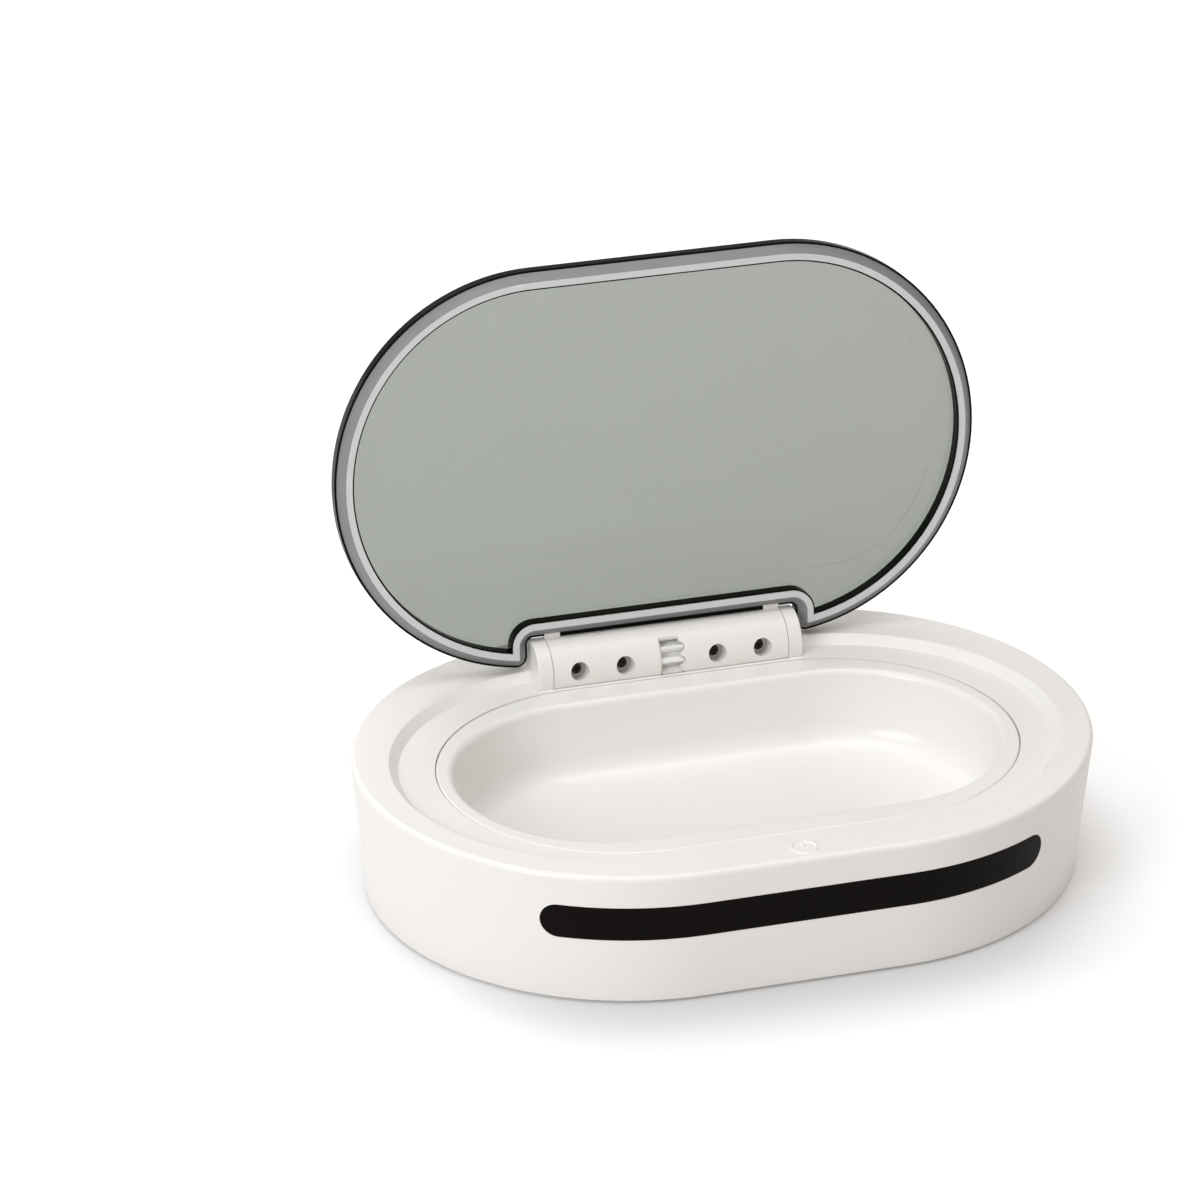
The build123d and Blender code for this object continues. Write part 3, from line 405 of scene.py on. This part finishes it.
def cut_along_margin(mesh, axis):
    """Cut the panel's faces along the line where the dark border ends."""
    work = bmesh.new()
    work.from_mesh(mesh)
    met = set()
    for edge in list(work.edges):
        first, last = edge.verts
        near = inside_outline(first.co, axis) - DARK_MARGIN
        far = inside_outline(last.co, axis) - DARK_MARGIN
        if near * far < 0.0:
            met.add(bmesh.utils.edge_split(edge, first, near / (near - far))[1])
    for face in list(work.faces):
        ends = [corner for corner in face.verts if corner in met]
        if len(ends) == 2:
            bmesh.utils.face_split(face, ends[0], ends[1])
    work.to_mesh(mesh)
    work.free()


def close_notch(mesh, axis):
    """Bring the panel's lower edge between the two arms down to the barrel, so that its dark edge fills
    the gap there as painted shade.
    """
    for corner in mesh.vertices:
        up = (corner.co - axis).dot(LID_UP)
        if up < NOTCH_REACH + NOTCH_NEAR and abs(corner.co.x) < ARM_SIDE:
            corner.co -= LID_UP * NOTCH_DROP


def stand_off(mesh, axis):
    """Lift the seal's back off the panel by a hair, so that the two faces aren't in one plane."""
    for corner in mesh.vertices:
        if (corner.co - axis).dot(LID_FACING) < SEAL_BACK:
            corner.co += LID_FACING * SEAL_OFF


def give_two(piece, first, second, is_second):
    """Give a piece two materials, the second where is_second(face) holds."""
    piece.data.materials.clear()
    piece.data.materials.append(first)
    piece.data.materials.append(second)
    for face in piece.data.polygons:
        face.material_index = 1 if is_second(face) else 0


def make_lid_panel(face_finish, edge_and_shade_finish):
    """The panel with clear smoked faces, dark edges, a border painted dark over the clear face, and a
    dark rib inside the seal.
    """
    axis = hinge_axis()
    panel = merged_copy("lid_panel")
    cut_along_margin(panel.data, axis)
    close_notch(panel.data, axis)

    def dark(face):
        edge_on = abs(face.normal.dot(LID_FACING)) < EDGE_ON
        # The border is painted in the dark edge colour over the clear face.
        border = inside_outline(face.center, axis) < DARK_MARGIN
        rib = (face.center - axis).dot(LID_FACING) > RIB_STANDS
        return edge_on or border or rib

    give_two(panel, face_finish, edge_and_shade_finish, dark)
    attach(panel, "lid")
    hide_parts("lid_panel")


def make_lid_seal(lip_finish, shaded_skirt_finish):
    """The seal: a smooth pale lip that meets the deck, and a duller skirt that slopes outwards, coloured
    a darker grey as painted shade of the outer slope.
    """
    axis = hinge_axis()
    seal = merged_copy("lid_gasket")
    stand_off(seal.data, axis)

    def sloping(face):
        facing = face.normal.dot(LID_FACING)
        outer = inside_outline(face.center, axis) < SKIRT_WIDE
        return outer and abs(facing) < LIP_FACING

    # The sloping outer faces take the darker skirt colour: painted shade.
    give_two(seal, lip_finish, shaded_skirt_finish, sloping)
    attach(seal, "lid")
    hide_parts("lid_gasket")


# ---- drive pinion --------------------------------------------------------------------------------
PINION_PLAY = 0.25 * MM   # by which each end of the pinion is set in


def make_pinion():
    """The pinion with its ends set in, so that they run clear of the window in the barrel."""
    pinion = merged_copy("drive_pinion")
    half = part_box("drive_pinion")[1].x
    for corner in pinion.data.vertices:
        corner.co.x *= (half - PINION_PLAY) / half
    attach(pinion, "pinion")
    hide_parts("drive_pinion")


# ---- power mark ----------------------------------------------------------------------------------
MARK_RADIUS = 5.4 * MM
MARK_LINE = 1.2 * MM      # width of the ridge at its foot
MARK_HEIGHT = 0.45 * MM
MARK_TICK = 5.2 * MM      # length of the tick, inwards from the ring's line
MARK_GAP = math.radians(26.0)    # left open at the back of the ring, for the tick
MARK_POINTS = 49          # along the ring


def ridge_tree():
    """Geometry nodes: an open ring and a tick in its gap, drawn with a ridge of three sides."""
    tree = bpy.data.node_groups.new("ring_and_tick_ridge", "GeometryNodeTree")
    for name in ("Radius", "Line", "Height", "Tick", "Gap"):
        tree.interface.new_socket(name, in_out="INPUT", socket_type="NodeSocketFloat")
    tree.interface.new_socket("Points", in_out="INPUT", socket_type="NodeSocketInt")
    tree.interface.new_socket("Centre", in_out="INPUT", socket_type="NodeSocketVector")
    tree.interface.new_socket("Material", in_out="INPUT", socket_type="NodeSocketMaterial")
    tree.interface.new_socket("Ridge", in_out="OUTPUT", socket_type="NodeSocketGeometry")
    given = node(tree, "NodeGroupInput", {}).outputs

    # The ring starts at the left of the gap, half a gap past the back, and goes round to its right.
    start = node(tree, "ShaderNodeMath", {0: given["Gap"], 1: 0.5, 2: math.pi / 2},
                 operation="MULTIPLY_ADD")
    sweep = node(tree, "ShaderNodeMath", {0: math.tau, 1: given["Gap"]}, operation="SUBTRACT")
    ring = node(tree, "GeometryNodeCurveArc",
                {"Resolution": given["Points"], "Radius": given["Radius"], "Start Angle": start,
                 "Sweep Angle": sweep}, mode="RADIUS")
    inner = node(tree, "ShaderNodeMath", {0: given["Radius"], 1: given["Tick"]}, operation="SUBTRACT")
    tick = node(tree, "GeometryNodeCurvePrimitiveLine",
                {"Start": node(tree, "ShaderNodeCombineXYZ", {"Y": inner}),
                 "End": node(tree, "ShaderNodeCombineXYZ", {"Y": given["Radius"]})})
    lines = node(tree, "GeometryNodeJoinGeometry", {"Geometry": ring})
    tree.links.new(tick.outputs[0], lines.inputs[0])

    # Section of the ridge: its foot along X, and its crest on -Y, which the sweep turns upwards.
    left = node(tree, "ShaderNodeMath", {0: given["Line"], 1: -0.5}, operation="MULTIPLY")
    right = node(tree, "ShaderNodeMath", {0: given["Line"], 1: 0.5}, operation="MULTIPLY")
    crest = node(tree, "ShaderNodeMath", {0: given["Height"], 1: -1.0}, operation="MULTIPLY")
    bent = node(tree, "GeometryNodeCurveArc",
                {"Resolution": 3, "Start": node(tree, "ShaderNodeCombineXYZ", {"X": left}),
                 "Middle": node(tree, "ShaderNodeCombineXYZ", {"Y": crest}),
                 "End": node(tree, "ShaderNodeCombineXYZ", {"X": right})}, mode="POINTS")
    section = node(tree, "GeometryNodeSetSplineCyclic", {"Geometry": bent, "Cyclic": True})

    swept = node(tree, "GeometryNodeCurveToMesh",
                 {"Curve": lines, "Profile Curve": section, "Fill Caps": True})
    flat = node(tree, "GeometryNodeSetShadeSmooth", {"Geometry": swept, "Shade Smooth": False})
    placed = node(tree, "GeometryNodeTransform", {"Geometry": flat, "Translation": given["Centre"]})
    real = node(tree, "GeometryNodeRealizeInstances", {"Geometry": placed})
    finished = node(tree, "GeometryNodeSetMaterial",
                    {"Geometry": real, "Material": given["Material"]})
    node(tree, "NodeGroupOutput", {"Ridge": finished})
    return tree


def make_power_mark(material):
    """Open ring and tick that stand on the rim over the touch pad, moulded in the shell's plastic."""
    low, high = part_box("touch_pad")
    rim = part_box("base_shell")[1].z
    given = {
        "Radius": MARK_RADIUS,
        "Line": MARK_LINE,
        "Height": MARK_HEIGHT,
        "Tick": MARK_TICK,
        "Gap": MARK_GAP,
        "Points": MARK_POINTS,
        "Centre": ((low.x + high.x) / 2, (low.y + high.y) / 2, rim),
        "Material": material,
    }
    mark = bpy.data.objects.new("power_mark", bpy.data.meshes.new("no_ridge_yet"))
    bpy.context.scene.collection.objects.link(mark)
    modifier = mark.modifiers.new("ridge", "NODES")
    modifier.node_group = ridge_tree()
    for socket in modifier.node_group.interface.items_tree:
        if socket.in_out == "INPUT":
            modifier[socket.identifier] = given[socket.name]
    drawn = mark.evaluated_get(bpy.context.evaluated_depsgraph_get())
    mesh = bpy.data.meshes.new_from_object(drawn)
    mark.modifiers.clear()
    mark.data = mesh
    mesh.name = "power_mark"
    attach(mark, "base")


# ---- stage, light and camera ---------------------------------------------------------------------
def seen_by(tree, *kinds):
    """1 for a ray of any of these kinds, and 0 for the others."""
    path = node(tree, "ShaderNodeLightPath", {})
    seen = path.outputs[f"Is {kinds[0]} Ray"]
    for kind in kinds[1:]:
        seen = node(tree, "ShaderNodeMath", {0: seen, 1: path.outputs[f"Is {kind} Ray"]},
                    operation="MAXIMUM").outputs[0]
    return seen


def make_floor():
    """Pale floor that keeps the object's shadow, with a painted shadow darkening its colour round the
    object's foot, and that, from below, isn't there.
    """
    half = FLOOR_SIZE / 2
    mesh = bpy.data.meshes.new("floor")
    mesh.from_pydata([(-half, -half, 0), (half, -half, 0), (half, half, 0), (-half, half, 0)], [],
                     [(0, 1, 2, 3)])
    floor = bpy.data.objects.new("floor", mesh)
    bpy.context.scene.collection.objects.link(floor)
    material, tree, place = new_material("studio_floor")

    # Painted shadow: the closer to the object's foot, the darker the floor's colour is made, and more so
    # in front of the object than beside it.
    sky = node(tree, "ShaderNodeAmbientOcclusion", {"Distance": PAINTED_SHADOW_REACH}, samples=4)
    ahead = node(tree, "ShaderNodeSeparateXYZ", {0: place}).outputs["Y"]
    foot = node(tree, "ShaderNodeMapRange",
                {"Value": ahead, "From Min": FRONT_SHADE_Y, "From Max": SIDE_SHADE_Y,
                 "To Min": FRONT_SHADE, "To Max": SIDE_SHADE})
    painted_contact_shadow = node(tree, "ShaderNodeMapRange",
                   {"Value": sky.outputs["AO"], "From Min": FOOT_OPEN, "From Max": CLEAR_OPEN,
                    "To Min": foot, "To Max": 1.0})
    # Only the camera sees that; the light that the floor throws back on the object stays whole.
    unseen = node(tree, "ShaderNodeMath", {0: 1.0, 1: seen_by(tree, "Camera")}, operation="SUBTRACT")
    open_floor = node(tree, "ShaderNodeMath", {0: painted_contact_shadow, 1: unseen}, operation="MAXIMUM")
    paint = node(tree, "ShaderNodeMath", {0: open_floor, 1: FLOOR_PAINT}, operation="MULTIPLY")
    lit = node(tree, "ShaderNodeBsdfDiffuse", {"Color": paint})

    # The lamps light only the middle of the floor, so its far parts are lifted more.
    away = node(tree, "ShaderNodeVectorMath", {0: place}, operation="LENGTH").outputs["Value"]
    far = node(tree, "ShaderNodeMapRange",
               {"Value": away, "From Min": LIT_RADIUS, "From Max": DIM_RADIUS,
                "To Min": FLOOR_LIFT, "To Max": FAR_LIFT})
    lift = node(tree, "ShaderNodeMath", {0: open_floor, 1: far}, operation="MULTIPLY")
    glow = node(tree, "ShaderNodeMath",
                {0: seen_by(tree, "Camera", "Glossy", "Transmission"), 1: lift}, operation="MULTIPLY")
    white = node(tree, "ShaderNodeEmission", {"Color": linear(WHITE), "Strength": glow})
    shown = node(tree, "ShaderNodeAddShader", {0: lit, 1: white})

    # Clear from below, so that the feet and the bottom cover can be looked at.
    under = node(tree, "ShaderNodeNewGeometry", {}).outputs["Backfacing"]
    clear = node(tree, "ShaderNodeBsdfTransparent", {})
    sides = node(tree, "ShaderNodeMixShader", {0: under, 1: shown, 2: clear})
    node(tree, "ShaderNodeOutputMaterial", {"Surface": sides})
    mesh.materials.append(material)


def make_world():
    """Even, slightly warm light all round; the camera and clear pieces see plain white."""
    world = bpy.data.worlds.new("studio")
    bpy.context.scene.world = world
    world.use_nodes = True
    tree = world.node_tree
    tree.nodes.clear()
    seen = seen_by(tree, "Camera", "Transmission")
    fill = node(tree, "ShaderNodeBackground", {"Color": linear(FILL_COLOUR), "Strength": FILL_LIGHT})
    plain = node(tree, "ShaderNodeBackground", {"Color": linear(WHITE), "Strength": 1.0})
    sky = node(tree, "ShaderNodeMixShader", {0: seen, 1: fill, 2: plain})
    node(tree, "ShaderNodeOutputWorld", {"Surface": sky})


def set_up(thing, place, way):
    """Stand a lamp or a camera in its place and turn it to look that way."""
    thing.location = place
    thing.rotation_mode = "QUATERNION"
    thing.rotation_quaternion = way.to_track_quat("-Z", "Y")
    bpy.context.scene.collection.objects.link(thing)


def make_lamp(name, place, aim, width, watts):
    lamp = bpy.data.lights.new(name, "AREA")
    lamp.shape = "DISK"
    lamp.size = width
    lamp.energy = watts
    lamp.color = linear(LAMP_COLOUR)[:3]
    set_up(bpy.data.objects.new(name, lamp), place, Vector(aim) - Vector(place))


def make_camera():
    azimuth = math.radians(CAMERA_AZIMUTH)
    elevation = math.radians(CAMERA_ELEVATION)
    back = Vector((math.sin(azimuth) * math.cos(elevation),
                   -math.cos(azimuth) * math.cos(elevation), math.sin(elevation)))
    lens = bpy.data.cameras.new("camera")
    lens.lens = CAMERA_LENS
    lens.sensor_width = CAMERA_SENSOR
    camera = bpy.data.objects.new("camera", lens)
    set_up(camera, Vector(CAMERA_AIM) + back * CAMERA_DISTANCE, -back)
    bpy.context.scene.camera = camera


# ---- the whole feeder ----------------------------------------------------------------------------
finishes = finish_nodes()
make_lid_panel(finishes["smoked_panel"], smoked_edge_and_shade())
# The skirt's darker grey is painted shade of the seal's outer slope.
make_lid_seal(finishes["seal_rubber"],
              moulded_silicone("grey_silicone_skirt_painted_shade", "828385", "8E8F91", 0.44))
make_pinion()
make_power_mark(finishes["shell_plastic"])
make_floor()
make_world()
for lamp in LAMPS:
    make_lamp(*lamp)
make_camera()
bpy.context.scene.view_settings.view_transform = "Standard"
